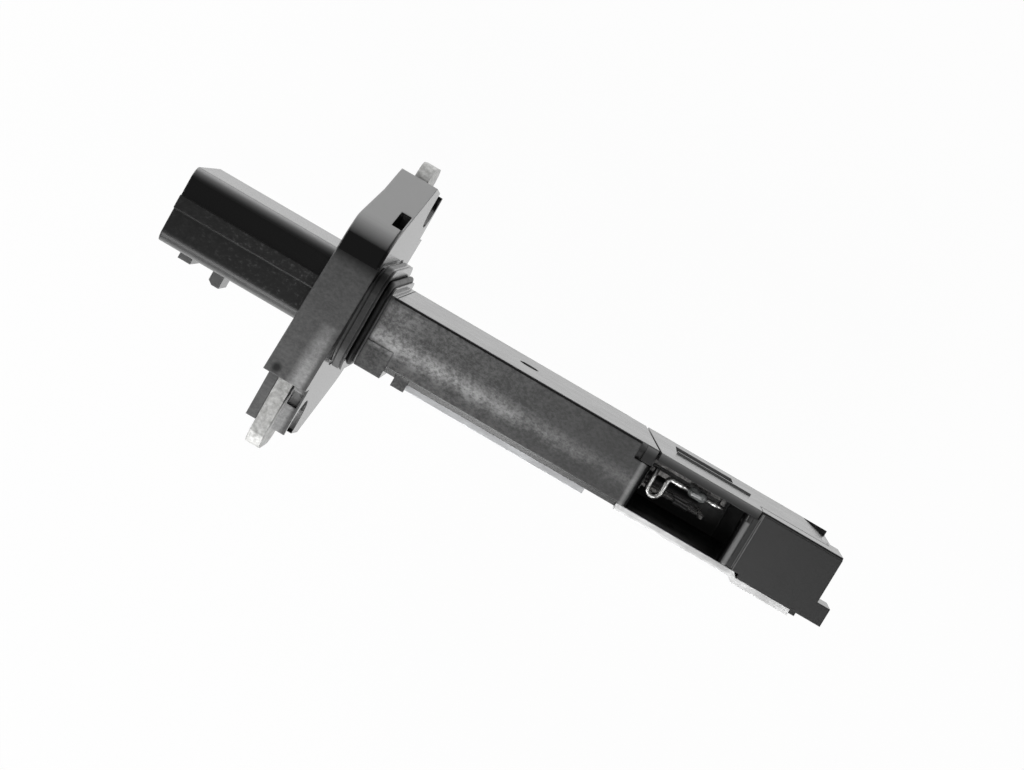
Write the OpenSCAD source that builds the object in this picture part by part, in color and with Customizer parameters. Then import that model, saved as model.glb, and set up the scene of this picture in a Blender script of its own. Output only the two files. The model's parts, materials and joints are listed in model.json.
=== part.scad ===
// Plug-in mass air flow sensor: a moulded housing with a connector shell, a two-eared
// mounting flange, a sealed neck and a flat probe that hangs in the intake duct.
// The origin is on the probe's axis in the plane of the flange's mounting face.
// +Z points to the connector, X crosses the thin side of the probe, air flows along Y.

/* [Probe] */
// Length of the probe from the mounting face to its tip
probe_l = 85.4; // [80:0.2:110]
// Width of the probe along the air flow
probe_w = 26; // [24:0.5:34]
// Thickness of the probe across the air flow
probe_t = 11.2; // [10.6:0.1:14]
// Width of the moulded walls beside the circuit bay
bay_wall = 2.3; // [1.8:0.1:3.2]
// Thickness of the moulded floor under the circuit bay
floor_t = 1.6; // [1.2:0.1:2]
// Distance from the mounting face to the circuit bay
bay_start = 7.6; // [6.5:0.1:12]
// Thickness of the solid wall between the circuit bay and the air window
divider_t = 5.6; // [4.5:0.1:8]
// Chamfer along the lower front edge of the probe
probe_chamfer = 1; // [0.4:0.1:1.4]

/* [Air passage] */
// Length of the air window
window_l = 16.2; // [14:0.2:19]
// Length of the solid tip below the air window
tip_l = 16.9; // [14:0.1:22]
// Depth of the air passage behind the window
passage_d = 21.5; // [20:0.5:22.5]
// Radius of the rounded jambs of the window
jamb_r = 1.5; // [0.8:0.1:2]
// Length of the outlet slot in the passage cover
outlet_l = 10.8; // [8:0.2:12]
// Width of the outlet slot in the passage cover
outlet_w = 8; // [6:0.2:9]

/* [Covers and plates] */
// Thickness of the two moulded covers
cover_t = 1.5; // [1:0.05:1.7]
// Width of the rim left beside the circuit cover
cover_rim = 0.7; // [0.5:0.05:1.2]
// Gap round the covers
cover_gap = 0.15; // [0.08:0.01:0.3]
// Width of the open joint between the two covers
joint_gap = 0.45; // [0.2:0.05:0.8]
// Slant of the joint between the covers over the probe's width
joint_slant = 2.3; // [0:0.1:3]
// Diameter of the vent in the circuit cover
vent_d = 3.4; // [2.4:0.1:5]
// Thickness of the aluminium base plate
base_t = 1.5; // [1.2:0.1:2]
// Height by which the base plate stands proud of the probe
base_proud = 1; // [0.6:0.1:1.2]
// Thickness of the sheet that closes the passage at the back
sheet_t = 1.1; // [0.8:0.1:1.3]

/* [Neck and seal] */
// Width of the neck's shoulder beyond each cover side of the probe
shoulder_x = 2.9; // [2.6:0.1:4]
// Width of the neck's shoulder beyond each edge of the probe
shoulder_y = 1.5; // [1.5:0.1:3]
// Corner radius of the neck
neck_r = 4; // [2.5:0.1:6]
// Height of the narrow part of the neck between the flange and the rim
neck_gap = 0.45; // [0.3:0.05:0.8]
// Height of the rim that centres the neck
rim_h = 1.6; // [1.2:0.1:2.4]
// Height by which the rim stands proud of the neck
rim_proud = 0.6; // [0.3:0.05:1]
// Height of the sealing ring along the neck
seal_h = 1.1; // [1:0.05:1.6]
// Width of the sealing ring from its seat outward
seal_t = 1.5; // [1.2:0.05:2]
// Height of the ring's seat above the sides of the probe
seal_seat = 0.4; // [0.2:0.05:0.8]
// Thickness of the lip that keeps the ring on the neck
seal_lip = 0.35; // [0.3:0.05:0.8]
// Gap from the outline of the rim to the edge of the relief round the neck
relief_gap = 0.2; // [0.1:0.05:0.4]
// Depth of the relief in the flange's underside round the neck
relief_depth = 0.3; // [0.2:0.05:0.6]

/* [Flange] */
// Thickness of the flange
flange_t = 7.4; // [6.8:0.1:10]
// Thickness of the ears, measured from the mounting face
ear_t = 6.8; // [6.2:0.1:6.8]
// Distance from the axis to the end of each moulded ear, at its blunt side
ear_reach = 23; // [22:0.2:26]
// Distance by which the end of an ear slants back towards its outer side
ear_slant = 1.8; // [0:0.1:2.5]
// Distance from the axis to the outer side of each ear
ear_side = 19; // [17:0.2:22]
// Distance from the axis to the side of the flange at an ear
body_side = 22.8; // [22.4:0.2:26]
// Half width of the flange body between the ears
body_reach = 13; // [12:0.2:14.5]
// Radius of the blunt corners of the flange
flange_r = 7; // [3:0.5:9]

/* [Mounting lugs] */
// Distance from the end of an ear to the screw hole
hole_end = 3; // [2:0.1:4]
// Distance from the outer side of an ear to the screw hole
hole_side = 5.5; // [5.5:0.1:7]
// Diameter of the screw holes
hole_d = 4.6; // [4.2:0.1:5.5]
// Diameter of the round recesses that bare a lug above and below
seat_d = 8.8; // [8:0.1:9.4]
// Thickness of the steel lugs
lug_t = 2.5; // [2:0.05:3]
// Width of the steel lugs
lug_w = 11; // [10:0.1:11]
// Corner radius at the free end of a lug
lug_r = 3; // [1.5:0.1:4]
// Thickness of the moulding under a lug
under_lug = 2.2; // [1.6:0.1:2.6]

/* [Connector] */
// Height of the connector shell above the flange
shell_l = 26.6; // [22:0.2:34]
// Size of the shell across the probe's thickness
shell_t = 13.4; // [11:0.1:16]
// Size of the shell along the air flow
shell_w = 19.4; // [19:0.1:24]
// Offset of the shell from the probe's axis
shell_x = 0.6; // [0:0.1:1.5]
// Wall thickness of the shell
shell_wall = 1.35; // [1:0.05:2]
// Depth of the socket
socket_d = 20.5; // [14:0.5:21]
// Width of the guide rib along each narrow side of the shell
rib_w = 2.3; // [1.5:0.1:3]
// Height of the guide rib
rib_h = 0.6; // [0.3:0.05:1]

/* [Terminals] */
// Distance between neighbouring terminals
pitch = 2.5; // [2.3:0.05:2.9]
// Width of a terminal
blade_w = 1.2; // [0.8:0.05:1.4]
// Thickness of a terminal
blade_t = 0.64; // [0.5:0.02:0.8]
// Length of a terminal inside the socket
blade_l = 14; // [10:0.5:14]

/* [Circuit] */
// Thickness of the ceramic circuit board
board_t = 0.8; // [0.6:0.05:1.2]
// Gap between the board and the walls of the bay
board_gap = 1; // [0.6:0.1:2]
// Diameter of the bond wires
wire_d = 0.3; // [0.2:0.02:0.4]

/* [Sensing elements] */
// Diameter of the glass bead of the air temperature sensor
bead_d = 1.8; // [1.5:0.1:2.4]
// Length of the glass bead
bead_l = 3.4; // [3:0.1:4.5]
// Diameter of the bead's leads
lead_d = 0.65; // [0.4:0.05:0.7]
// Inner bend radius of the loop in the bead's lead, measured at the wire's centre
loop_r = 1.15; // [0.8:0.05:1.4]
// Distance of the bead's axis from the front of the probe
bead_depth = 3.5; // [2.8:0.1:4.5]
// Thickness of the stamped pins that hold the sensing elements
pin_t = 0.6; // [0.4:0.05:0.8]
// Width of the stamped pins
pin_w = 0.8; // [0.5:0.05:1]
// Diameter of the heated and the unheated element
element_d = 0.9; // [0.6:0.05:1.2]
// Length of the heated and the unheated element
element_l = 2.6; // [2:0.1:3.4]

/* [Hidden] */
$fn = 48;
eps = 0.01;
cut = 1;
TERMINALS = 5;
fit = 0.05;

// Neck and screw holes
neck_t = probe_t + 2 * shoulder_x;
neck_w = probe_w + 2 * shoulder_y;
rim_low = -neck_gap - rim_h;
neck_l = neck_gap + rim_h + seal_h + seal_lip;
seat_t = probe_t + 2 * seal_seat;
seat_w = probe_w + 2 * seal_seat;
seat_r = 1.6;
hole_x = ear_reach - hole_end;
hole_y = ear_side - hole_side;

// Levels through the probe's thickness
top_x = probe_t / 2;
cover_x = top_x - cover_t;
floor_x = -top_x + floor_t;
side_y = probe_w / 2;
bay_y = side_y - bay_wall;

// Levels along the probe
tip_z = -probe_l;
window_low = tip_z + tip_l;
window_top = window_low + window_l;
bay_low = window_top + divider_t;
bay_top = -bay_start;
cover_top = -neck_l - 0.9;
joint_z = window_top + joint_slant / 2;
cover_low = tip_z + 2.2;
notch_w = 1;
tab_l = 1.9;
tab_h = 2.7;
tab_t = 1.2;
ledge_y = 5.4;
outlet_z = (window_low + window_top) / 2 - 0.5;
outlet_y = -side_y + passage_d - 1 - outlet_w / 2;

// Pockets of the flange
relief_out = rim_proud + relief_gap;
pocket_x = body_reach + 2.1;
lip_t = 0.35;

// Base plate and sheet
plate_margin = 1.4;
plate_top = bay_top - 2.7;
plate_low = bay_low + 1.8;
plate_x = -top_x - base_proud;
pad_y = bay_y - 2.1;
pad_top = bay_top - 5.6;
pad_low = bay_low + 4.6;
sheet_x = -top_x - 0.4;
sheet_top = window_top + 2;
sheet_step = window_low - 3.3;
sheet_low = tip_z + 3;
sheet_margin = 0.8;

// Board and what stands on it
board_x = floor_x + fit;
board_face = board_x + board_t;
board_w = 2 * (bay_y - board_gap);
chip_size = [1.5, 8, 8];
transistor_size = [2.2, 5, 6];
capacitor_size = [1.2, 1.6, 3.2];
resistor_size = [0.5, 0.9, 1.7];
shelf_l = 3.6;
shelf_top = bay_top - shelf_l;
shelf_low = bay_low + shelf_l;
board_top = shelf_top - 0.4;
board_low = shelf_low + 0.4;
blade_x = shell_x;
blade_end = shelf_top + 0.5;
pin_x = -1.4;
pin_end = shelf_low - 0.6;

// Bead and elements
bead_x = 2.3;
foot_up = 2.9;
long_pin_up = 4.2;
bead_y = -side_y + bead_depth;
bead_z = window_top - 8.7;
bend_r = 0.9;
leg_low_z = window_top - 3.5;
leg_top_z = leg_low_z + 2 * loop_r;
loop_x = -0.4;
foot_z = window_low + foot_up;
lead_gap = 0.02;
post_y = [bead_y + lead_d / 2 + lead_gap, bead_y + lead_d / 2 + lead_gap + 2 * pin_t];
post_x = [bead_x - pin_w / 2, bead_x + bead_d / 2 - 0.1];
element_y = [-2.6, 2.2];
element_pitch = 1.7;
element_lead_d = 0.3;
short_pin_z = window_top - 4.6;
long_pin_z = window_low + long_pin_up;

// Corner of an outline: an arc of radius r that touches both sides of the corner at b
function arc_corner(a, b, c, r, n = 8) =
    let (u = (a - b) / norm(a - b), v = (c - b) / norm(c - b),
         half = acos(u * v) / 2, d = r / tan(half),
         centre = b + (u + v) / norm(u + v) * r / sin(half),
         p = b + u * d - centre, q = b + v * d - centre,
         sweep = 180 - 2 * half, turn = sign(p[0] * q[1] - p[1] * q[0]))
    [for (i = [0 : n]) let (t = turn * sweep * i / n)
        centre + [p[0] * cos(t) - p[1] * sin(t), p[0] * sin(t) + p[1] * cos(t)]];

module rounded_rect(x, y, r) {
    square([x - 2 * r, y], center = true);
    square([x, y - 2 * r], center = true);
    for (i = [-1, 1], j = [-1, 1])
        translate([i * (x / 2 - r), j * (y / 2 - r)]) circle(r);
}

module slab(x0, x1, y0, y1, z0, z1) {
    translate([x0, y0, z0]) cube([x1 - x0, y1 - y0, z1 - z0]);
}

// Stands an outline drawn in Y and Z on the plane at x, and gives it a thickness along X
module plate_yz(x, t) {
    translate([x, 0, 0]) rotate([90, 0, 90]) linear_extrude(t) children();
}

// Carries a profile, drawn outward from the side of a rounded rectangle, all the way round it
module round_rect_sweep(x, y, r) {
    for (side = [0, 180]) rotate([0, 0, side]) {
        translate([x / 2 - r, -(y / 2 - r), 0]) rotate([90, 0, 0])
            mirror([0, 0, 1]) linear_extrude(y - 2 * r) translate([r, 0]) children();
        translate([-(x / 2 - r), -(y / 2 - r), 0]) rotate([90, 0, -90])
            mirror([0, 0, 1]) linear_extrude(x - 2 * r) translate([r, 0]) children();
        for (turn = [0, 90])
            translate([(turn == 0 ? 1 : -1) * (x / 2 - r), y / 2 - r, 0]) rotate([0, 0, turn])
                rotate_extrude(angle = 90) translate([r, 0]) children();
    }
}

// Both ears, and everything on them, repeat after half a turn about the axis
module both_ears() {
    children();
    rotate([0, 0, 180]) children();
}

function flange_half() =
    let (step = [-body_reach, -body_side], blunt = [body_reach + 0.6, -body_side + 7.6],
         tip = [ear_reach, 2], far = [ear_reach - ear_slant, ear_side])
    concat([step], arc_corner(step, blunt, tip, flange_r), [tip], [far]);

module flange_outline() {
    half = flange_half();
    inner = [[body_reach, ear_side]];
    polygon(concat(half, inner, [for (p = concat(half, inner)) -p]));
}

// Half of the flange's side view: a step at one ear, a ramp down to the other
module flange_profile() {
    polygon([[-ear_reach - cut, 0], [ear_reach + cut, 0], [ear_reach + cut, ear_t], [ear_reach - 4, ear_t],
        [body_reach + 1, flange_t], [-body_reach, flange_t], [-body_reach, ear_t],
        [-ear_reach - cut, ear_t]]);
}

// The underside is relieved round the neck, so the mounting face clears the rim
module flange_body() {
    difference() {
        intersection() {
            linear_extrude(flange_t) flange_outline();
            both_ears() translate([0, eps, 0]) rotate([90, 0, 0])
                linear_extrude(body_side + cut) flange_profile();
        }
        translate([0, 0, -cut]) linear_extrude(cut + relief_depth)
            rounded_rect(neck_t + 2 * relief_out, neck_w + 2 * relief_out, neck_r + relief_out);
    }
}

// Space in one ear for its steel lug, with the screw hole and the seat for the screw's head
module lug_space() {
    lug_inner = hole_x - lug_w / 2 - 1;
    slab(lug_inner - fit, ear_reach + cut, hole_y - lug_w / 2 - fit, ear_side + cut,
        under_lug, under_lug + 0.35 + lug_t + fit);
    translate([hole_x, hole_y, -cut]) cylinder(d = seat_d, h = ear_t + 2 * cut);
}

// Moulding pockets of one half: one in the slanted side with a fine joint line that runs
// from it, and one in the outer side of the ear
module flange_pockets() {
    slab(pocket_x, pocket_x + 2.3, -body_side + 4, -3.5, lip_t, under_lug);
    slab(body_reach + 1.2, body_reach + 3.6, ear_side - 1.2, ear_side + cut, lip_t, under_lug - 0.2);
    translate([0, 0, 0.15]) linear_extrude(0.35) difference() {
        translate([neck_t / 2, -body_side]) square([pocket_x - neck_t / 2, body_side - 4]);
        scale(0.985) flange_outline();
    }
}

// From the flange down: a narrow part, the rim with a fine line round it, the ring's seat and a lip
module neck() {
    root = relief_depth + eps;
    line_h = 0.15;
    line_z = rim_low + 0.3;
    translate([0, 0, -neck_gap]) linear_extrude(neck_gap + root) rounded_rect(neck_t, neck_w, neck_r);
    rim_tier(line_z + line_h, -neck_gap, rim_proud);
    rim_tier(line_z - eps, line_z + line_h + eps, rim_proud - 0.2);
    rim_tier(rim_low, line_z, rim_proud - 0.05);
    translate([0, 0, -neck_l]) linear_extrude(neck_l + root) rounded_rect(seat_t, seat_w, seat_r);
    translate([0, 0, -neck_l]) linear_extrude(seal_lip)
        rounded_rect(seat_t + seal_t, seat_w + seal_t, seat_r + seal_t / 2);
}

// One tier of the rim, from the height low to top, proud of the neck all round
module rim_tier(low, top, proud) {
    translate([0, 0, low]) linear_extrude(top - low)
        rounded_rect(neck_t + 2 * proud, neck_w + 2 * proud, neck_r + proud);
}

module connector_shell() {
    translate([shell_x, 0, flange_t - eps]) linear_extrude(shell_l + eps)
        rounded_rect(shell_t, shell_w, 2);
    // guide ribs on the narrow sides
    for (s = [-1, 1])
        slab(shell_x - 0.7, shell_x - 0.7 + rib_w, s > 0 ? shell_w / 2 - cut : -shell_w / 2 - rib_h,
            s > 0 ? shell_w / 2 + rib_h : -shell_w / 2 + cut, flange_t - eps, flange_t + shell_l);
    // catch and stop for the plug's latch on the wide side
    catch_x = shell_x - shell_t / 2;
    catch_z = flange_t + shell_l - 11.3;
    translate([0, 3, 0]) rotate([90, 0, 0]) linear_extrude(6)
        polygon([[catch_x + cut, catch_z], [catch_x - 2.8, catch_z], [catch_x - 2.8, catch_z + 1.3],
            [catch_x - 2.2, catch_z + 2.1], [catch_x + cut, catch_z + 2.1]]);
    slab(catch_x - 1.6, catch_x + cut, -3.5, 3.5, catch_z + 5.9, catch_z + 8.2);
}

module socket() {
    inner_t = shell_t - 2 * shell_wall;
    inner_w = shell_w - 2 * shell_wall;
    floor_z = flange_t + shell_l - socket_d;
    difference() {
        translate([shell_x, 0, floor_z]) linear_extrude(socket_d + cut + 1)
            rounded_rect(inner_t, inner_w, 1.2);
        // keying ribs on one wide side of the socket
        for (y = [-5.2, 5.2])
            slab(shell_x + inner_t / 2 - 0.9, shell_x + inner_t / 2 + cut, y - 0.6, y + 0.6,
                floor_z - cut, flange_t + shell_l - 3);
    }
    // lead-in at the mouth
    translate([shell_x, 0, flange_t + shell_l - 0.6]) linear_extrude(cut + 1)
        rounded_rect(inner_t + 0.7, inner_w + 0.7, 1.55);
}

function probe_section() = [[-top_x, -side_y + probe_chamfer], [-top_x + probe_chamfer, -side_y],
    [top_x - 0.35, -side_y], [top_x, -side_y + 0.35], [top_x, side_y - 0.5], [top_x - 0.5, side_y],
    [-top_x + 0.5, side_y], [-top_x, side_y - 0.5]];

module probe_block() {
    translate([0, 0, tip_z]) linear_extrude(probe_l) polygon(probe_section());
    // thicker root below the neck
    slab(-top_x - 1.2, -2.2, -side_y - 0.2, side_y - 2, -neck_l - 4.6, -neck_l + eps);
    // end block stands a little proud of the window's frame
    slab(-top_x, top_x - 0.35, -side_y - 0.25, -side_y + cut, tip_z, window_low - 2.7);
    // hook at the lower corner of the tip
    slab(-top_x, -top_x + 3.2, -side_y - 0.25, -side_y + 5, tip_z - 2.3, tip_z + cut);
    // stops beside the upper end of the base plate
    for (s = [-1, 1])
        slab(plate_x - 0.3, -top_x + cut, s < 0 ? -side_y + 0.2 : side_y - plate_margin + fit,
            s < 0 ? -side_y + plate_margin - fit : side_y - 0.2, plate_top - 2.1, plate_top + 0.2);
    // nub behind the end of the back sheet
    slab(-top_x - 1.5, -top_x + cut, -7, -5.4, tip_z + 0.9, tip_z + 2.1);
}

// Outline of the circuit cover in Y and Z; grow widens it for its recess
module circuit_cover_outline(grow = 0) {
    y = side_y - cover_rim + grow;
    top = cover_top + grow;
    polygon([[-y, top], [y, top], [y, joint_at(y) + joint_gap / 2 - grow],
        [-y, joint_at(-y) + joint_gap / 2 - grow]]);
}

function joint_at(y) = joint_z + y / probe_w * joint_slant;

// Outline of the passage cover in Y and Z; over the window it reaches the probe's front
module passage_cover_outline(grow = 0, front = 0) {
    y = side_y - cover_rim + grow;
    f = side_y + front;
    step = window_low - 2.2 - grow;
    ledge = -side_y + ledge_y - (grow > 0 ? joint_gap : 0);
    polygon([[-f, joint_at(-f) - joint_gap / 2 + grow], [y, joint_at(y) - joint_gap / 2 + grow],
        [y, cover_low - grow], [ledge, cover_low - grow], [ledge, step], [-f, step]]);
}

// Open joint between the two covers
module joint_outline() {
    y = side_y - cover_rim;
    half = joint_gap / 2 + eps;
    polygon([[-y, joint_at(-y) - half], [y, joint_at(y) - half], [y, joint_at(y) + half],
        [-y, joint_at(-y) + half]]);
}

// Ramp cut across the cover and the rim at the tip, short of the far side
module tip_ramp() {
    drop = 0.8;
    translate([0, -side_y + ledge_y + 3, 0]) mirror([0, 1, 0]) rotate([90, 0, 0])
        linear_extrude(2 * side_y - ledge_y - 3 - cover_rim)
            polygon([[top_x, tip_z + 4.6], [top_x + cut, tip_z + 4.6], [top_x + cut, tip_z - cut],
                [top_x - drop, tip_z - cut], [top_x - drop, tip_z + 0.6]]);
}

function tab_z(s) = joint_at(s * side_y) + 0.3;

// Clip tabs of the circuit cover on both sides of the probe
module cover_tabs() {
    for (s = [-1, 1])
        slab(top_x - tab_h, top_x - 0.1, s < 0 ? -side_y : side_y - tab_t,
            s < 0 ? -side_y + tab_t : side_y, tab_z(s), tab_z(s) + tab_l);
}

// Recesses for the clip tabs, each with a slot left open above its tab
module tab_recesses() {
    for (s = [-1, 1])
        slab(top_x - tab_h - cover_gap, top_x + cut, s < 0 ? -side_y - cut : side_y - tab_t - cover_gap,
            s < 0 ? -side_y + tab_t + cover_gap : side_y + cut,
            joint_at(s * side_y) - 0.4, tab_z(s) + tab_l + notch_w);
}

module air_passage() {
    low = sheet_x + sheet_t;
    back = -side_y + passage_d;
    slab(low - cut, cover_x + eps, -side_y - cut, back, window_low, window_top);
    // rounded jambs
    for (s = [-1, 1]) {
        z = s > 0 ? window_top : window_low;
        difference() {
            slab(-top_x + 0.7, cover_x + eps, -side_y - cut, -side_y + jamb_r,
                z - (s > 0 ? eps : jamb_r), z + (s > 0 ? jamb_r : eps));
            translate([-top_x - cut, -side_y + jamb_r, z + s * jamb_r]) rotate([0, 90, 0])
                cylinder(r = jamb_r, h = probe_t + 2 * cut);
        }
    }
}

module housing() {
    color("dimgray") difference() {
        union() {
            flange_body();
            neck();
            connector_shell();
            probe_block();
        }
        socket();
        both_ears() lug_space();
        both_ears() flange_pockets();
        // circuit bay, with shelves for the terminals and the pins left standing
        difference() {
            slab(floor_x, cover_x + eps, -bay_y, bay_y, bay_low, bay_top);
            slab(floor_x - cut, blade_x - blade_t / 2, -bay_y - cut, bay_y + cut, shelf_top, bay_top + cut);
            slab(floor_x - cut, pin_x - pin_t / 2 - fit, -bay_y - cut, bay_y + cut,
                bay_low - cut, shelf_low);
        }
        // opening in the floor for the pad of the base plate, and the plate's recess
        slab(-top_x - cut, floor_x + cut, -pad_y - fit, pad_y + fit, pad_low - fit, pad_top + fit);
        slab(-top_x - cut - 2, plate_x + base_t, -side_y + plate_margin - fit, side_y - plate_margin + fit,
            plate_low - fit, plate_top + fit);
        // recesses for the covers
        plate_yz(cover_x, cover_t + cut) circuit_cover_outline(cover_gap);
        plate_yz(cover_x, cover_t + cut) passage_cover_outline(cover_gap, cut);
        plate_yz(cover_x, cover_t + cut) joint_outline();
        tab_recesses();
        tip_ramp();
        air_passage();
        // recess for the flat part of the back sheet
        slab(-top_x - cut, sheet_x + sheet_t + fit, -side_y - cut, side_y - 2 * sheet_margin,
            sheet_step - 0.7, sheet_top + fit);
        // groove beside the window
        slab(-top_x - cut, cover_x, -side_y - cut, -side_y + 0.5, window_low - 2.7, window_low - 1.6);
        terminal_holes();
        pin_holes();
    }
}

module mounting_lug() {
    z = under_lug + 0.35;
    x0 = hole_x - lug_w / 2 - 1;
    x1 = hole_x + lug_w / 2;
    y0 = hole_y - lug_w / 2;
    y1 = hole_y + lug_w / 2;
    translate([0, 0, z]) linear_extrude(lug_t) difference() {
        polygon(concat([[x0, y0]], arc_corner([x0, y0], [x1, y0], [x1, y1], lug_r),
            arc_corner([x1, y0], [x1, y1], [x0, y1], lug_r), [[x0, y1]]));
        translate([hole_x, hole_y]) circle(d = hole_d);
    }
}

module mounting_lug_right() {
    color("silver") mounting_lug();
}

module mounting_lug_left() {
    color("silver") rotate([0, 0, 180]) mounting_lug();
}

module seal_ring() {
    r = seal_h / 2 - fit;
    round_x = seal_t - r - fit;
    color("black") translate([0, 0, rim_low - seal_h / 2])
        round_rect_sweep(seat_t + 2 * fit, seat_w + 2 * fit, seat_r) {
            union() {
                translate([0, -r]) square([round_x, 2 * r]);
                intersection() {
                    translate([round_x, 0]) circle(r);
                    translate([0, -r]) square([seal_t, 2 * r]);
                }
            }
        }
}

module circuit_cover() {
    color("gray") difference() {
        union() {
            plate_yz(cover_x, cover_t) circuit_cover_outline();
            cover_tabs();
            // arms that join the tabs to the lid
            for (s = [-1, 1])
                slab(cover_x, top_x - 0.1, s < 0 ? -side_y : side_y - cover_rim - cut,
                    s < 0 ? -side_y + cover_rim + cut : side_y, tab_z(s), tab_z(s) + tab_l);
        }
        vent_hole(fit);
    }
}

module vent_hole(grow) {
    translate([cover_x - cut, vent_y(), vent_z()]) rotate([0, 90, 0])
        cylinder(d = vent_d + 2 * grow, h = cover_t + 2 * cut);
}

function vent_y() = 0;
function vent_z() = (bay_top + bay_low) / 2 - 0.4;

module vent_filter() {
    color("black") translate([cover_x, vent_y(), vent_z()]) rotate([0, 90, 0])
        cylinder(d = vent_d, h = cover_t - 0.4);
}

module passage_cover() {
    color("gray") {
        difference() {
            plate_yz(cover_x, cover_t) passage_cover_outline();
            slab(cover_x - cut, top_x + cut, outlet_y - outlet_w / 2, outlet_y + outlet_w / 2,
                outlet_z - outlet_l / 2, outlet_z + outlet_l / 2);
            tip_ramp();
        }
        // low guide rib beside the outlet
        slab(top_x - eps, top_x + 0.3, outlet_y - outlet_w / 2 - 1, outlet_y - outlet_w / 2 - 0.4,
            outlet_z - outlet_l / 2 - 3, outlet_z + outlet_l / 2);
    }
}

module base_plate() {
    color("silver") {
        slab(plate_x, plate_x + base_t - fit, -side_y + plate_margin, side_y - plate_margin,
            plate_low, plate_top);
        slab(plate_x, floor_x, -pad_y, pad_y, pad_low, pad_top);
    }
}

module back_sheet() {
    y0 = -side_y + sheet_margin / 2;
    y1 = side_y - 2 * sheet_margin - fit;
    x = sheet_x;
    step_x = -top_x - sheet_t - fit;
    color("lightgray") translate([0, y1, 0]) rotate([90, 0, 0]) linear_extrude(y1 - y0)
        polygon([[x, sheet_top], [x + sheet_t, sheet_top], [x + sheet_t, sheet_step],
            [step_x + sheet_t, sheet_step - 0.7], [step_x + sheet_t, sheet_low], [step_x, sheet_low],
            [step_x, sheet_step - 0.3], [x, sheet_step + 0.4]]);
}

module circuit_board() {
    color("ivory") slab(board_x, board_face, -board_w / 2, board_w / 2, board_low, board_top);
}

// Places a piece of the size [height, width, length] on the board, its centre at y and z
// as shares of the board's half width and half length
module on_board(size, y, z) {
    translate([board_face + fit, y * board_w / 2 - size[1] / 2,
        (board_top + board_low) / 2 + z * (board_top - board_low) / 2 - size[2] / 2]) cube(size);
}

module control_chip() {
    color("black") on_board(chip_size, -0.3, 0.25);
}

module power_transistor() {
    color("black") on_board(transistor_size, 0.55, -0.28);
}

module capacitors() {
    color("tan") for (i = [0 : 2]) on_board(capacitor_size, -0.75 + 0.32 * i, -0.3);
}

module resistors() {
    color("dimgray") for (i = [0 : 3]) on_board(resistor_size, 0.38 + 0.15 * i, 0.3);
}

function terminal_y(i) = (i - (TERMINALS + 1) / 2) * pitch;

module terminal(i) {
    floor_z = flange_t + shell_l - socket_d;
    tip = floor_z + blade_l;
    color("goldenrod") translate([blade_x, terminal_y(i), 0]) {
        slab(-blade_t / 2, blade_t / 2, -blade_w / 2, blade_w / 2, blade_end, tip - 1);
        translate([0, 0, tip - 1 - eps]) rotate([90, 0, 0]) translate([0, 0, -blade_w / 2])
            linear_extrude(blade_w) polygon([[-blade_t / 2, 0], [blade_t / 2, 0],
                [blade_t / 4, 1], [-blade_t / 4, 1]]);
    }
}

module terminal_1() { terminal(1); }
module terminal_2() { terminal(2); }
module terminal_3() { terminal(3); }
module terminal_4() { terminal(4); }
module terminal_5() { terminal(5); }

module terminal_holes() {
    for (i = [1 : TERMINALS])
        translate([blade_x, terminal_y(i), 0])
            slab(-blade_t / 2 - fit, blade_t / 2 + fit, -blade_w / 2 - fit, blade_w / 2 + fit,
                bay_top - fit, flange_t + shell_l - socket_d + fit);
}

// Bond wire: a foot on the metal that ends at z, and a quarter loop down to the board
module bond(x, y, z, way) {
    foot = 1.3;
    translate([x, y, way > 0 ? z - foot : z]) cylinder(d = wire_d, h = foot, $fn = 16);
    translate([board_face, y, z]) rotate([90, 0, 0]) rotate([0, 0, way > 0 ? 0 : -90])
        rotate_extrude(angle = 90) translate([x - board_face, 0]) circle(d = wire_d, $fn = 16);
}

module bond_wires() {
    color("lightgray") for (i = [1 : TERMINALS])
        bond(blade_x + blade_t / 2 + wire_d / 2 + lead_gap, terminal_y(i), blade_end, -1);
}

module pin_bonds() {
    color("lightgray") for (y = pin_rows())
        bond(pin_x + pin_t / 2 + wire_d / 2 + lead_gap, y, pin_end, 1);
}

function pin_rows() = concat([for (i = [0, 1]) post_y[i] + pin_t / 2],
    [for (i = [0, 1], j = [0, 1]) element_y[i] + j * element_pitch]);

// Stamped strap, drawn in X and Z: it lies on its shelf in the circuit bay, climbs
// inside the divider and runs along the air passage at the height x down to z
module strap_outline(x, z, grow = 0) {
    mid = (bay_low + window_top) / 2;
    low = pin_x - pin_t / 2 - grow;
    top = pin_x + pin_t / 2 + grow;
    polygon([[low, pin_end], [top, pin_end], [top, mid + pin_w / 2 + grow],
        [x + pin_w + grow, mid + pin_w / 2 + grow], [x + pin_w + grow, z], [x - grow, z],
        [x - grow, mid - pin_w / 2 - grow], [low, mid - pin_w / 2 - grow]]);
}

module strap(i, z, grow = 0) {
    translate([0, post_y[i] + pin_t + grow, 0]) rotate([90, 0, 0])
        linear_extrude(pin_t + 2 * grow) strap_outline(post_x[i], z, grow);
}

module bead_post_short() {
    color("silver") strap(0, leg_low_z - lead_d / 2);
}

module bead_post_long() {
    foot = 0.8;
    color("silver") {
        strap(1, foot_z);
        slab(bead_x - pin_w / 2, post_x[1] + pin_w, post_y[0], post_y[1] + pin_t, foot_z, foot_z + foot);
    }
}

module bead_glass() {
    color("darkseagreen") translate([bead_x, bead_y, bead_z]) {
        cylinder(d = bead_d, h = bead_l - bead_d, center = true);
        for (s = [-1, 1]) translate([0, 0, s * (bead_l - bead_d) / 2]) sphere(d = bead_d);
    }
}

// Length of wire along X at the height z of the bead's loop
module wire_leg(x0, x1, z) {
    translate([x0, bead_y, z]) rotate([0, 90, 0]) cylinder(d = lead_d, h = x1 - x0, $fn = 24);
}

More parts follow.
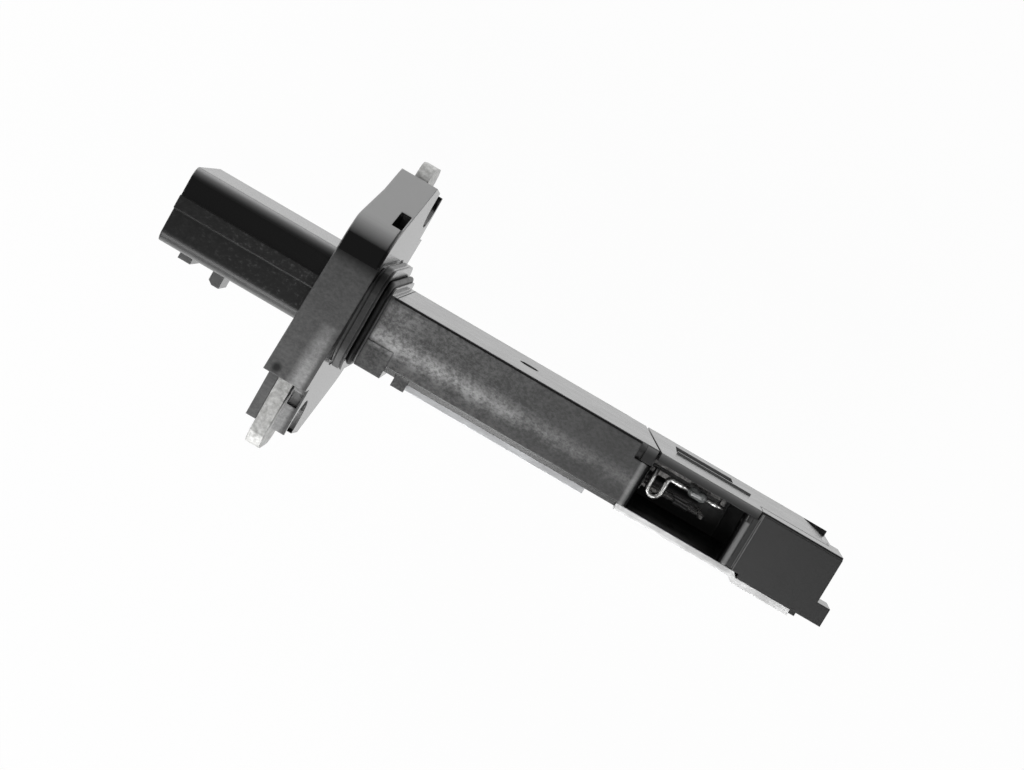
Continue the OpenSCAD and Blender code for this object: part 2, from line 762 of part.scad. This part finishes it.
module wire_arc(x, z, r, start, angle) {
    translate([x, bead_y, z]) rotate([90, 0, 0]) rotate([0, 0, start])
        rotate_extrude(angle = angle) translate([r, 0]) circle(d = lead_d, $fn = 24);
}

module bead_lead_looped() {
    bead_end = bead_z + bead_l / 2 + lead_gap;
    color("silver") {
        translate([bead_x, bead_y, bead_end])
            cylinder(d = lead_d, h = leg_low_z - bend_r - bead_end, $fn = 24);
        wire_arc(bead_x - bend_r, leg_low_z - bend_r, bend_r, 0, 90);
        wire_leg(loop_x, bead_x - bend_r, leg_low_z);
        wire_arc(loop_x, leg_low_z + loop_r, loop_r, 90, 180);
        wire_leg(loop_x, bead_x + pin_w / 2, leg_top_z);
    }
}

module bead_lead_straight() {
    bead_end = bead_z - bead_l / 2 - lead_gap;
    color("silver") translate([bead_x, bead_y, foot_z])
        cylinder(d = lead_d, h = bead_end - foot_z, $fn = 24);
}

// Pins of one element, drawn in Y and Z: a short one, and a long one with a foot under it
module element_pin_outlines(y) {
    translate([y - pin_w / 2, short_pin_z]) square([pin_w, pin_end - short_pin_z]);
    translate([y + element_pitch - pin_w / 2, long_pin_z]) square([pin_w, pin_end - long_pin_z]);
    translate([y - pin_w / 2, long_pin_z]) square([element_pitch + pin_w, pin_w]);
}

module element_pins() {
    color("silver") for (y = element_y)
        plate_yz(pin_x - pin_t / 2, pin_t) element_pin_outlines(y);
}

module pin_holes() {
    intersection() {
        slab(-top_x, top_x, -side_y, side_y, window_top - cut, bay_low + cut);
        union() {
            for (i = [0, 1]) strap(i, window_top - cut, fit);
            for (y = element_y, j = [0, 1])
                translate([pin_x, y + j * element_pitch, 0])
                    slab(-pin_t / 2 - fit, pin_t / 2 + fit, -pin_w / 2 - fit, pin_w / 2 + fit,
                        window_top - cut, bay_low + cut);
        }
    }
}

// Ceramic body with a thin lead from the short pin to the foot of the long one
module sensing_element(y) {
    lead_low = long_pin_z + pin_w + lead_gap;
    lead_top = short_pin_z - lead_gap;
    color("white") translate([pin_x, y, 0]) {
        translate([0, 0, (lead_low + lead_top - element_l) / 2]) cylinder(d = element_d, h = element_l);
        translate([0, 0, lead_low]) cylinder(d = element_lead_d, h = lead_top - lead_low, $fn = 16);
    }
}

module heated_element() { sensing_element(element_y[0]); }
module unheated_element() { sensing_element(element_y[1]); }

housing();
mounting_lug_left();
mounting_lug_right();
seal_ring();
circuit_cover();
vent_filter();
passage_cover();
base_plate();
back_sheet();
circuit_board();
control_chip();
power_transistor();
capacitors();
resistors();
terminal_1();
terminal_2();
terminal_3();
terminal_4();
terminal_5();
bond_wires();
pin_bonds();
bead_post_short();
bead_post_long();
bead_glass();
bead_lead_looped();
bead_lead_straight();
element_pins();
heated_element();
unheated_element();
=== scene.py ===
"""Looks of the plug-in mass air flow sensor: materials, fine detail, light and camera.

Lengths are in metres, in the part's own frame. Z runs along the probe towards the connector, +X is the side
with the covers, and the front with the air window faces -Y.
"""
import json

import bmesh
import bpy
from mathutils import Matrix, Vector, noise


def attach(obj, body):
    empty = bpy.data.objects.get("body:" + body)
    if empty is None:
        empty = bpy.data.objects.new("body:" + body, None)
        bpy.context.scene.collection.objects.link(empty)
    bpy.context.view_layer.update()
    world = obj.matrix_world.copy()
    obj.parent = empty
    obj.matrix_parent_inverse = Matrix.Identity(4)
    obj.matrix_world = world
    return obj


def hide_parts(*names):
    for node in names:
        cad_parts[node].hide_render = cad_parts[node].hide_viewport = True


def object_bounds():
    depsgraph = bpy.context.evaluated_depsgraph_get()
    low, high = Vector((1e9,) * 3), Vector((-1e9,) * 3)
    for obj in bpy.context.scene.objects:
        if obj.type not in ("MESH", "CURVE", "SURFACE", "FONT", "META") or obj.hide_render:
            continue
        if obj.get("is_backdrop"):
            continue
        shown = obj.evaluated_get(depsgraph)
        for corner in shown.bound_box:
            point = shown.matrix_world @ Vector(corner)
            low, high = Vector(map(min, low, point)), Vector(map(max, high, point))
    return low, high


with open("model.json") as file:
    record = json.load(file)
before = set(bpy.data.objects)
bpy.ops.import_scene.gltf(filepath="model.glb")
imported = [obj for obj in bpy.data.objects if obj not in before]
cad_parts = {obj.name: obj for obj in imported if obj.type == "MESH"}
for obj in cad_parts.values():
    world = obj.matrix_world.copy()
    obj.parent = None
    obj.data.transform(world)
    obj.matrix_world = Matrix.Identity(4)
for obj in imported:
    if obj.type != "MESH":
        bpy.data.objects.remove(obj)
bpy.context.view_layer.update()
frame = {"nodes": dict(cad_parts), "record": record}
nodes = frame["nodes"]
scene = bpy.context.scene
scene.view_settings.view_transform = "Standard"


# Camera: in front of the part and rolled, so that the connector points to the upper left
eye = Vector((0.035766, -0.305547, -0.028896))
right = Vector((0.49990948, 0.06243678, -0.86382415))
up = Vector((0.85886294, 0.09273301, 0.50374105))
back = right.cross(up)
camera_data = bpy.data.cameras.new("camera")
camera_data.lens = 65.88
camera_data.sensor_width = 36
camera_data.sensor_fit = "HORIZONTAL"
camera_data.clip_start = 0.01
camera = bpy.data.objects.new("camera", camera_data)
camera.matrix_world = Matrix.Translation(eye) @ Matrix((right, up, back)).transposed().to_4x4()
scene.collection.objects.link(camera)
scene.camera = camera


# Heights on the housing, along Z. A pair holds where a change of finish begins and where it is complete,
# or the two ends of a band.
SPECKLE_FADE = (0.01, 0.03)
SHELL_FOOT = (0.0072, 0.0076)
STRIP_TOP = (0.0021, 0.0037)
STRIP_FOOT = (0.0004, 0.0011)
FLANGE_FOOT = (-0.0004, 0.0)
RIM = (-0.0039, -0.0001)
PROBE_TOP = (-0.004, -0.0035)
ROOT_FADE = (-0.0115, -0.0065)
PROBE_FADE = (-0.044, -0.009)
SHEEN_BAND_FADE = (-0.047, -0.016)
UPPER_JAMB_GLINT = (-0.051, -0.0507)
WINDOW = (-0.0687, -0.0503)
LOWER_JAMB_GLINT = (-0.0698, -0.0695)
TIP_START = (-0.0689, -0.0687)
TIP_EDGE_HIGHLIGHT = (-0.0713, -0.0711)

# Places across the thickness, along X, in the same pairs
SHELL_LOW_EDGE = (-0.0061, -0.0036)
SHELL_RIB = (0.0021, 0.0023)
SHELL_TOP_EDGE = (0.0053, 0.0073)
STRIP_FADE = (-0.009, -0.0028)
STRIP_END = (-0.0028, -0.0024)
FACE_FADE = (-0.008, 0.006)
FACE_END = (0.006, 0.0082)
SLANT_START = (0.0113, 0.0142)
ROOT_SIDES = (-0.0026, 0.0045)
JAMB_END = (0.0027, 0.003)
COVER_LIP = (0.0042, 0.0045)
COVER_OUTSIDE = (0.0043, 0.0056)
LINING_FACE = (-0.0057, -0.0056)

# Places from the front backwards, along Y, in the same pairs
JAMB_DEPTH = (-0.0118, -0.0114)
INSIDE_START = (-0.0114, -0.0104)
LINING_START = (-0.0127, -0.0122)

# Facings, the Y of a face's normal: -1 is straight ahead
FLAT_FRONT = (-0.95, -0.93)
ROUND_FRONT = (-0.4, -0.05)
SLANT_FACINGS = (-0.93, -0.44)
COVER_FRONT = (-0.95, -0.85)

# Widths over which a band fades at its ends
SHARP = 0.0001
SOFT = 0.0004
SLANT_SOFT = 0.04

SHEEN_BAND_HALF_WIDTH = 0.0021
SINK_MARK = (-0.0119, 0.0, 0.0057)
SINK_RADII = (0.0004, 0.001)

# Bare housing plastic, and the paleness at which a face is fully matt
BARE_TONE = 0.0015
BARE_ROUGH = 0.19
SHELL_ROUGH = 0.29
MATT_PALENESS = 0.0012

# Depths of the surface relief, and radii of the rounded edges
PORE_DEPTH = 0.00002
GRAIN_DEPTH = 0.00003
SWIRL_DEPTH = 0.00005
HOUSING_EDGE = 0.0003
COVER_EDGE = 0.0002
METAL_EDGE = 0.00015
SMALL_EDGE = 0.0001

PLASTIC_IOR = 1.55
RUBBER_IOR = 1.33


class Shader:
    """A material's node tree, with short calls for the nodes used here."""

    def __init__(self, name):
        self.material = bpy.data.materials.new(name)
        self.material.use_nodes = True
        self.tree = self.material.node_tree
        self.out = self.tree.nodes["Material Output"]
        self.bsdf = self.tree.nodes["Principled BSDF"]

    def add(self, kind, inputs=(), **settings):
        node = self.tree.nodes.new(kind)
        for key, value in settings.items():
            setattr(node, key, value)
        for key, value in dict(inputs).items():
            if isinstance(value, bpy.types.NodeSocket):
                self.tree.links.new(value, node.inputs[key])
            else:
                node.inputs[key].default_value = value
        return node

    def surface(self, color, rough, normal):
        """Joins the three channels that every look has."""
        for name, value in (("Base Color", color), ("Roughness", rough), ("Normal", normal)):
            self.tree.links.new(value, self.bsdf.inputs[name])

    def constant(self, name, value):
        self.bsdf.inputs[name].default_value = value

    def place(self, stretch=(1, 1, 1)):
        """Position in the object, in metres, stretched along the axes."""
        coord = self.add("ShaderNodeTexCoord")
        return self.add("ShaderNodeMapping", {"Vector": coord.outputs["Object"], "Scale": stretch}).outputs[0]

    def axes(self):
        """The object's own X, Y and Z."""
        return self.add("ShaderNodeSeparateXYZ", {"Vector": self.place()}).outputs

    def facing(self):
        """Y of the face's normal."""
        normal = self.add("ShaderNodeTexCoord").outputs["Normal"]
        return self.add("ShaderNodeSeparateXYZ", {"Vector": normal}).outputs["Y"]

    def noise(self, scale, detail=4.0, rough=0.6, stretch=(1, 1, 1)):
        inputs = {"Vector": self.place(stretch), "Scale": scale, "Detail": detail, "Roughness": rough}
        return self.add("ShaderNodeTexNoise", inputs).outputs["Fac"]

    def tint(self, value, low, high, dark, light):
        """Dark up to low, light from high on, and blended between."""
        node = self.add("ShaderNodeValToRGB", {"Fac": value})
        for element, at, color in zip(node.color_ramp.elements, (low, high), (dark, light)):
            element.position = at
            element.color = (*color, 1)
        return node.outputs["Color"]

    def span(self, value, low, high, to_low, to_high):
        """Value's range from low to high, carried to the range from to_low to to_high and held beyond it."""
        inputs = {"Value": value, "From Min": low, "From Max": high, "To Min": to_low, "To Max": to_high}
        return self.add("ShaderNodeMapRange", inputs).outputs["Result"]

    def rise(self, value, zone):
        return self.span(value, *zone, 0.0, 1.0)

    def fall(self, value, zone):
        return self.span(value, *zone, 1.0, 0.0)

    def within(self, value, zone, soft):
        """1 between the zone's ends, falling to 0 over the soft distance outside them."""
        low, high = zone
        return self.times(self.rise(value, (low - soft, low)), self.fall(value, (high, high + soft)))

    def blend(self, share, at_none, at_full):
        return self.span(share, 0.0, 1.0, at_none, at_full)

    def mix(self, share, first, second):
        return self.add("ShaderNodeMix", {"Factor": share, "A": first, "B": second}).outputs[0]

    def chain(self, operation, values):
        result = values[0]
        for value in values[1:]:
            result = self.add("ShaderNodeMath", {0: result, 1: value}, operation=operation).outputs[0]
        return result

    def times(self, *values):
        return self.chain("MULTIPLY", values)

    def plus(self, *values):
        return self.chain("ADD", values)

    def largest(self, *values):
        return self.chain("MAXIMUM", values)

    def bump(self, height, strength, distance, under=None):
        inputs = {"Height": height, "Strength": strength, "Distance": distance}
        if under is not None:
            inputs["Normal"] = under
        return self.add("ShaderNodeBump", inputs).outputs[0]

    def rounded(self, radius):
        return self.add("ShaderNodeBevel", {"Radius": radius}, samples=6).outputs[0]


def grey(level):
    return (level, level, level)


def fibre_tone(s):
    """Fine fibres, and the tone that they make with broad clouds."""
    fibres = s.noise(1900, 3, 0.65, (1, 1, 0.6))
    return fibres, s.mix(0.45, s.noise(210, 3, 0.5), fibres)


def grained(s, fibres, strength, edge):
    """Normal of moulded plastic: rounded edges, pores and fibres."""
    pores = s.bump(s.noise(5200, 2, 0.5), strength, PORE_DEPTH, s.rounded(edge))
    return s.bump(fibres, strength, GRAIN_DEPTH, pores)


def moulded(name, dark, light, rough, grain):
    """Moulded plastic with a fine grain and a cloudy sheen."""
    s = Shader(name)
    fibres, tone = fibre_tone(s)
    color = s.tint(tone, 0.3, 0.7, dark, light)
    s.surface(color, s.span(tone, 0.3, 0.7, *rough), grained(s, fibres, grain, SMALL_EDGE))
    s.constant("IOR", PLASTIC_IOR)
    return s.material


def shell_tone_and_sheen(s, x, z, fibres):
    """Connector shell: specked up to its rib, bare beyond it, and with a painted sheen towards both long
    edges.
    """
    specks = s.span(fibres, 0.56, 0.66, 1.0, s.span(z, *SPECKLE_FADE, 7.0, 2.0))
    film = s.times(s.span(x, *SHELL_RIB, 0.0085, 0.0), s.span(fibres, 0.42, 0.6, 0.6, 1.4), specks)
    # Painted sheen: paler towards both long, rounded edges
    top = s.rise(x, SHELL_TOP_EDGE)
    low = s.fall(x, SHELL_LOW_EDGE)
    return s.plus(film, s.times(top, top, top, 0.45), s.times(low, low, 0.15))


def flange_tone_and_painted_light(s, x, z, grain):
    """Flange's near side: a cloudy grey face fading out near its rounded corner as painted shade, a painted
    highlight strip along its foot, and the painted shade of a small sink mark.
    """
    # Painted highlight: a pale strip along the foot
    strip = s.times(s.span(x, *STRIP_FADE, 0.25, 0.08), s.fall(x, STRIP_END),
                    s.rise(z, STRIP_FOOT), s.fall(z, STRIP_TOP))
    # Paler towards -X, and fading out near the rounded corner as painted shade
    face = s.times(s.span(x, *FACE_FADE, 0.12, 0.075), s.fall(x, FACE_END))
    # Painted shade of a small sink mark: the pale tone drops to a fifth around it
    spot = s.add("ShaderNodeCombineXYZ", {"X": x, "Z": z}).outputs[0]
    away = s.add("ShaderNodeVectorMath", {0: spot, 1: SINK_MARK}, operation="DISTANCE").outputs["Value"]
    return s.times(s.plus(face, strip), s.span(grain, 0.38, 0.62, 0.7, 1.3),
                   s.span(away, *SINK_RADII, 0.2, 1.0), s.span(z, *FLANGE_FOOT, 0.5, 1.0))


def probe_tone_and_sheen(s, x, z, cloud, grain):
    """Probe's front: paler towards the neck, with a cloudy band of painted sheen along it."""
    even = s.span(z, *PROBE_FADE, 0.034, 0.098)
    root = s.times(s.span(z, *ROOT_FADE, 0.0, 0.07), s.within(x, ROOT_SIDES, SOFT))
    # Painted sheen: a cloudy pale band along the middle of the front
    middle = s.span(cloud, 0.3, 0.7, 0.0004, 0.0014)
    away = s.add("ShaderNodeMath", {0: s.plus(x, middle)}, operation="ABSOLUTE").outputs[0]
    sheen_band = s.times(s.fall(away, (0.0, SHEEN_BAND_HALF_WIDTH)), s.span(z, *SHEEN_BAND_FADE, 0.06, 0.2),
                    s.span(cloud, 0.35, 0.65, 0.75, 1.25))
    return s.times(s.plus(even, root, sheen_band), s.span(grain, 0.42, 0.58, 0.5, 1.5))


def tip_tone_and_highlight(s, z, grain):
    """Probe's tip: darker, with one painted highlight line across it, along the edge that catches the light.
    """
    return s.plus(s.span(grain, 0.3, 0.7, 0.008, 0.017), s.times(s.within(z, TIP_EDGE_HIGHLIGHT, SHARP), 0.14))


def housing():
    """Glass-filled moulding: smooth and dark, with a pale tone on the faces that look ahead, partly worn
    plastic and partly painted sheen from the front lamps.
    """
    s = Shader("housing_plastic")
    x, y, z = s.axes()
    facing = s.facing()
    cloud = s.noise(230, 4, 0.6)
    fibres = s.noise(2100, 5, 0.8, (1, 1, 0.7))
    grain = s.mix(0.7, cloud, fibres)

    # Each stretch of the height has its own pale tone and painted sheen
    pale_tone_and_sheen = s.span(z, *SHELL_FOOT, flange_tone_and_painted_light(s, x, z, grain), shell_tone_and_sheen(s, x, z, fibres))
    pale_tone_and_sheen = s.span(z, *PROBE_TOP, probe_tone_and_sheen(s, x, z, cloud, grain), pale_tone_and_sheen)
    pale_tone_and_sheen = s.span(z, *TIP_START, tip_tone_and_highlight(s, z, grain), pale_tone_and_sheen)

    # The shell and the rim carry it round their rounded sides, the other faces only where they look ahead
    turned = s.plus(s.rise(z, SHELL_FOOT), s.within(z, RIM, SHARP))
    starts, ends = zip(FLAT_FRONT, ROUND_FRONT)
    front = s.fall(facing, (s.blend(turned, *starts), s.blend(turned, *ends)))
    # Painted reflection: the flange's slanted face and the round into it made pale where they catch the side
    # lamp
    slant_sheen = s.times(s.rise(x, SLANT_START), s.within(facing, SLANT_FACINGS, SLANT_SOFT))
    # Painted highlights: thin pale bands along both rounded jamb edges of the window
    jamb_highlights = s.plus(s.within(z, UPPER_JAMB_GLINT, SOFT), s.within(z, LOWER_JAMB_GLINT, SOFT))
    glint = s.times(jamb_highlights, s.fall(y, JAMB_DEPTH), s.fall(x, JAMB_END), 0.17)
    pale = s.plus(s.times(pale_tone_and_sheen, front), s.times(slant_sheen, 0.33), glint)
    # Painted shade: the faces within the window keep only the bare dark tone
    window_shade = s.times(s.within(z, WINDOW, SHARP), s.rise(y, INSIDE_START))
    color = s.plus(s.times(pale, s.blend(window_shade, 1.0, 0.0)), BARE_TONE)

    matt = s.span(z, *SHELL_FOOT, s.span(grain, 0.36, 0.64, 0.34, 0.44), SHELL_ROUGH)
    rough = s.span(pale, 0.0, MATT_PALENESS, BARE_ROUGH, matt)
    s.surface(color, rough, grained(s, fibres, 0.22, HOUSING_EDGE))
    s.constant("IOR", PLASTIC_IOR)
    return s.material


def covers():
    """Smoother moulding, matt along its front edge, with painted shade where that edge meets the housing and
    a painted highlight towards its outer side.
    """
    s = Shader("cover_plastic")
    x = s.axes()["X"]
    fibres, tone = fibre_tone(s)
    edge = s.fall(s.facing(), COVER_FRONT)
    # Painted shade along the front edge next to the housing, and a painted highlight towards its outer side
    outside = s.rise(x, COVER_OUTSIDE)
    band = s.plus(s.times(s.rise(x, COVER_LIP), 0.012), s.times(outside, outside, 0.15))
    color = s.blend(edge, s.span(tone, 0.3, 0.7, 0.018, 0.034), band)
    rough = s.blend(edge, s.span(tone, 0.3, 0.7, 0.18, 0.24), 0.5)
    s.surface(color, rough, grained(s, fibres, 0.03, COVER_EDGE))
    s.constant("IOR", PLASTIC_IOR)
    return s.material


def metal(name, dark, light, rough, scuff, stretch=(1, 1, 1), dark_lining=False):
    """Plated or stamped metal with scuffs and a faint rolled direction, and where asked, darkened to a
    fiftieth where it lines the passage.
    """
    s = Shader(name)
    patch = s.noise(scuff, 6, 0.7, stretch)
    color = s.tint(patch, 0.3, 0.62, dark, light)
    if dark_lining:
        x, y, _ = s.axes()
        lining = s.times(s.rise(x, LINING_FACE), s.rise(y, LINING_START))
        inputs = {0: color, "Scale": s.blend(lining, 1.0, 0.02)}
        color = s.add("ShaderNodeVectorMath", inputs, operation="SCALE").outputs[0]
    smooth, worn = rough
    lines = s.noise(scuff * 9, 3, 0.6, (stretch[0], stretch[1], stretch[2] * 0.2))
    normal = s.bump(lines, 0.15, GRAIN_DEPTH, s.rounded(METAL_EDGE))
    s.surface(color, s.span(patch, 0.3, 0.7, worn, smooth), normal)
    s.constant("Metallic", 1)
    return s.material


def fired(name, dark, light, rough):
    """Ceramic body with a speckled, slightly uneven face."""
    s = Shader(name)
    speckle = s.noise(3000, 4, 0.7)
    smooth, dull = rough
    normal = s.bump(s.noise(1500), 0.15, GRAIN_DEPTH, s.rounded(SMALL_EDGE))
    s.surface(s.tint(speckle, 0.35, 0.65, dark, light), s.span(speckle, 0.3, 0.7, dull, smooth), normal)
    return s.material


def rubber(name):
    """Black rubber, a little glossier in patches."""
    s = Shader(name)
    film = s.noise(900, 4, 0.6)
    color = s.tint(film, 0.3, 0.7, grey(0.002), grey(0.007))
    s.surface(color, s.span(film, 0.3, 0.7, 0.5, 0.36), s.bump(s.noise(5000, 2), 0.15, GRAIN_DEPTH))
    s.constant("IOR", RUBBER_IOR)
    return s.material


def dark_glass(name):
    """Clouded glass fused over the dark sensor chip."""
    s = Shader(name)
    swirl = s.noise(1100, 3, 0.6, (1, 1, 0.5))
    color = s.tint(swirl, 0.4, 0.68, (0.05, 0.055, 0.055), (0.34, 0.35, 0.35))
    s.surface(color, s.span(swirl, 0.3, 0.7, 0.05, 0.18), s.bump(s.noise(1600, 2), 0.2, SWIRL_DEPTH))
    s.constant("Transmission Weight", 0.25)
    s.constant("Coat Weight", 0.6)
    return s.material


# Each pair called rough runs from the smoothest to the dullest place
looks = {
    "housing_plastic": housing(),
    "cover_plastic": covers(),
    "seal_rubber": rubber("seal_rubber"),
    "lug_steel": metal("lug_steel", (0.4, 0.4, 0.39), (0.7, 0.7, 0.69), rough=(0.56, 0.7), scuff=1100),
    "plate_aluminium": metal("plate_aluminium", (0.52, 0.52, 0.53), (0.66, 0.67, 0.68), rough=(0.44, 0.58),
                             scuff=700, stretch=(1, 1, 0.2)),
    "sheet_steel": metal("sheet_steel", grey(0.66), grey(0.82), rough=(0.36, 0.48), scuff=520,
                         stretch=(1, 1, 0.4), dark_lining=True),
    "board_ceramic": fired("board_ceramic", (0.7, 0.68, 0.62), (0.88, 0.86, 0.8), rough=(0.25, 0.45)),
    "chip_black": moulded("chip_black", (0.012, 0.012, 0.013), (0.03, 0.03, 0.031), rough=(0.4, 0.6),
                          grain=0.2),
    "capacitor_tan": fired("capacitor_tan", (0.42, 0.29, 0.17), (0.6, 0.44, 0.28), rough=(0.3, 0.5)),
    "terminal_metal": metal("terminal_metal", (0.62, 0.46, 0.22), (0.86, 0.7, 0.38), rough=(0.2, 0.34),
                            scuff=700, stretch=(1, 1, 0.3)),
    "pin_metal": metal("pin_metal", (0.3, 0.3, 0.29), (0.82, 0.82, 0.81), rough=(0.2, 0.4), scuff=1400),
    # Posts: near-black metal, painted shade for posts that sit in shadow within the window
    "post_metal": metal("post_metal", grey(0.03), (0.2, 0.195, 0.19), rough=(0.36, 0.55), scuff=1300),
    "bead_glass": dark_glass("bead_glass"),
    "element_ceramic": fired("element_ceramic", grey(0.025), grey(0.09), rough=(0.25, 0.45)),
    "filter_black": moulded("filter_black", grey(0.01), grey(0.028), rough=(0.6, 0.85), grain=0.5),
}
for part in frame["record"]["subparts"]:
    mesh = nodes[part["node"]].data
    mesh.materials.clear()
    mesh.materials.append(looks[part["material_slot"]])


LUMPS_PER_METRE = 1400
LUMP_HEIGHT = 0.00006


def fuller(node, name, growth):
    """A wire drawn fuller than its node, with the slight lumps of tinned wire."""
    piece = bpy.data.objects.new(name, nodes[node].data.copy())
    scene.collection.objects.link(piece)
    work = bmesh.new()
    work.from_mesh(piece.data)
    bmesh.ops.remove_doubles(work, verts=work.verts, dist=1e-6)
    bmesh.ops.subdivide_edges(work, edges=work.edges, cuts=1)
    work.normal_update()
    for vert, normal in [(vert, vert.normal.copy()) for vert in work.verts]:
        vert.co += normal * (growth + LUMP_HEIGHT * noise.noise(vert.co * LUMPS_PER_METRE))
    for face in work.faces:
        face.smooth = True
    work.to_mesh(piece.data)
    work.free()
    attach(piece, "root")
    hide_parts(node)


fuller("bead_lead_looped", "looped_lead", 0.00012)
fuller("bead_lead_straight", "straight_lead", 0.00008)


# Table: a white sheet some way behind the part, clear from its own back and to shadow rays
TABLE_GAP = 0.02
TABLE_HALF_WIDTH = 1.2
GLOW_SHARE = 0.95


def table():
    """Even white to the camera, mirrors and glass, but for the share that keeps the part's soft shadow."""
    s = Shader("table")
    s.tree.nodes.remove(s.bsdf)
    path = s.add("ShaderNodeLightPath").outputs
    seen = s.largest(path["Is Camera Ray"], path["Is Glossy Ray"], path["Is Transmission Ray"])
    paper = s.tint(s.noise(60, 3), 0.3, 0.7, grey(0.9), grey(0.93))
    diffuse = s.add("ShaderNodeBsdfDiffuse", {"Color": paper}).outputs[0]
    glow = s.add("ShaderNodeEmission", {"Color": (1, 1, 1, 1), "Strength": 1.0}).outputs[0]
    lit = s.add("ShaderNodeMixShader", {0: s.times(seen, GLOW_SHARE), 1: diffuse, 2: glow}).outputs[0]
    hidden = s.largest(s.add("ShaderNodeNewGeometry").outputs["Backfacing"], path["Is Shadow Ray"])
    clear = s.add("ShaderNodeBsdfTransparent").outputs[0]
    both = s.add("ShaderNodeMixShader", {0: hidden, 1: lit, 2: clear}).outputs[0]
    s.tree.links.new(both, s.out.inputs["Surface"])
    return s.material


def floor(at, half):
    mesh = bpy.data.meshes.new("floor")
    corners = [(-half, at, -half), (half, at, -half), (half, at, half), (-half, at, half)]
    mesh.from_pydata(corners, [], [(0, 1, 2, 3)])
    mesh.materials.append(table())
    obj = bpy.data.objects.new("floor", mesh)
    scene.collection.objects.link(obj)
    obj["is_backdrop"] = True


floor(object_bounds()[1][1] + TABLE_GAP, TABLE_HALF_WIDTH)


# Lamps: all aimed at the upper half of the probe
LAMP_AIM = Vector((0.0, 0.0, -0.025))


def area_light(name, at, size, power):
    data = bpy.data.lights.new(name, "AREA")
    data.shape = "RECTANGLE"
    data.size, data.size_y = size
    data.energy = power
    obj = bpy.data.objects.new(name, data)
    obj.location = at
    aim = LAMP_AIM - Vector(at)
    obj.rotation_euler = aim.to_track_quat("-Z", "Y").to_euler()
    scene.collection.objects.link(obj)


area_light("key", (-0.13, -0.58, -0.1), (0.16, 0.12), 0.3)
area_light("fill", (-0.42, -0.42, 0.0), (0.3, 0.4), 1.2)
area_light("slant_side", (0.34, -0.2, 0.36), (0.26, 0.26), 1.5)
area_light("tip_side", (-0.06, -0.42, -0.5), (0.3, 0.1), 0.4)
area_light("plug_side", (-0.12, -0.42, 0.46), (0.3, 0.1), 0.35)
area_light("low_side", (-0.5, -0.02, -0.02), (0.7, 0.07), 1.3)
area_light("behind", (-0.2, 0.5, 0.1), (0.5, 0.5), 1.5)

world = bpy.data.worlds.new("room")
world.use_nodes = True
scene.world = world
room = world.node_tree.nodes["Background"]
room.inputs["Color"].default_value = (0.9, 0.9, 0.9, 1)
room.inputs["Strength"].default_value = 0.18
